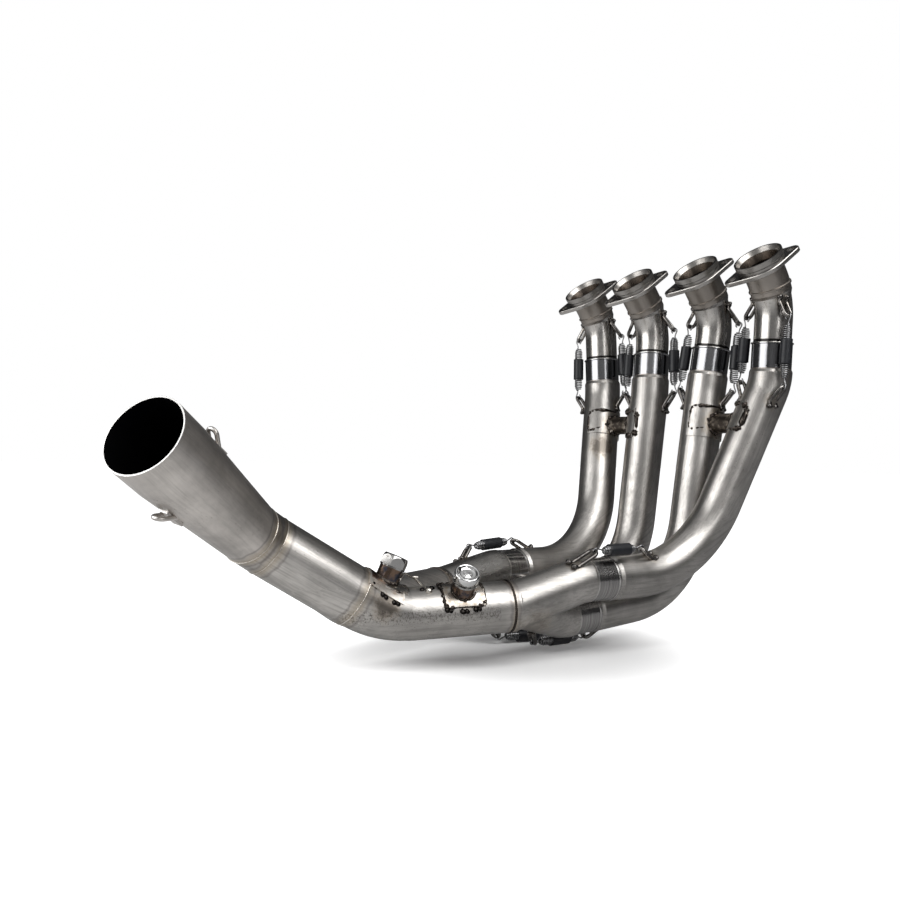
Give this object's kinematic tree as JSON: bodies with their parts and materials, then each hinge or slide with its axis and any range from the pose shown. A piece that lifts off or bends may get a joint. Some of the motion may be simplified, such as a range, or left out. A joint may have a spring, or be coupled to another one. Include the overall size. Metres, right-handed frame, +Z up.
{
  "type": "motorcycle exhaust header",
  "caption": "Welded exhaust header for an inline engine: flanged stubs, slip joints with springs, long bent pipes, collectors and a turned-up outlet.",
  "frame": {"origin": "centre of the first port's gasket face (the port at the bike's left end of the row)", "axes": "+X along the row of ports to the bike's right, +Y forward, +Z up; the outlet points back and up at -Y"},
  "size_m": [0.3077, 0.6621, 0.4051],
  "materials": {
    "pipe_titanium": "satin brushed titanium, tinted tan at the welds",
    "machined_titanium": "turned and milled, lightly tanned",
    "spring_steel": "bright drawn wire",
    "plug_steel": "bright machined",
    "spring_sleeve": "matt dark heat-resistant tube"
  },
  "bodies": {
    "root": {"collar_1": "machined_titanium", "collar_2": "machined_titanium", "collar_3": "machined_titanium", "collar_4": "machined_titanium", "cross_pipe_left": "pipe_titanium", "cross_pipe_right": "pipe_titanium", "flange_1": "machined_titanium", "flange_2": "machined_titanium", "flange_3": "machined_titanium", "flange_4": "machined_titanium", "header_pipe_1": "pipe_titanium", "header_pipe_2": "pipe_titanium", "header_pipe_3": "pipe_titanium", "header_pipe_4": "pipe_titanium", "merge_collector": "pipe_titanium", "mitre_ring": "pipe_titanium", "outlet_cone": "pipe_titanium", "plug_washer_one": "plug_steel", "plug_washer_two": "plug_steel", "sensor_boss_one": "pipe_titanium", "sensor_boss_two": "pipe_titanium", "sensor_plug_one": "plug_steel", "sensor_plug_two": "plug_steel", "sleeve_collector_1": "spring_sleeve", "sleeve_collector_2": "spring_sleeve", "sleeve_collector_3": "spring_sleeve", "sleeve_collector_4": "spring_sleeve", "sleeve_port_1_left": "spring_sleeve", "sleeve_port_1_right": "spring_sleeve", "sleeve_port_2_left": "spring_sleeve", "sleeve_port_2_right": "spring_sleeve", "sleeve_port_3_left": "spring_sleeve", "sleeve_port_3_right": "spring_sleeve", "sleeve_port_4_left": "spring_sleeve", "sleeve_port_4_right": "spring_sleeve", "spring_collector_1": "spring_steel", "spring_collector_2": "spring_steel", "spring_collector_3": "spring_steel", "spring_collector_4": "spring_steel", "spring_port_1_left": "spring_steel", "spring_port_1_right": "spring_steel", "spring_port_2_left": "spring_steel", "spring_port_2_right": "spring_steel", "spring_port_3_left": "spring_steel", "spring_port_3_right": "spring_steel", "spring_port_4_left": "spring_steel", "spring_port_4_right": "spring_steel", "stub_1": "pipe_titanium", "stub_2": "pipe_titanium", "stub_3": "pipe_titanium", "stub_4": "pipe_titanium", "twin_collector_left": "pipe_titanium", "twin_collector_right": "pipe_titanium"}
  },
  "joints": []
}
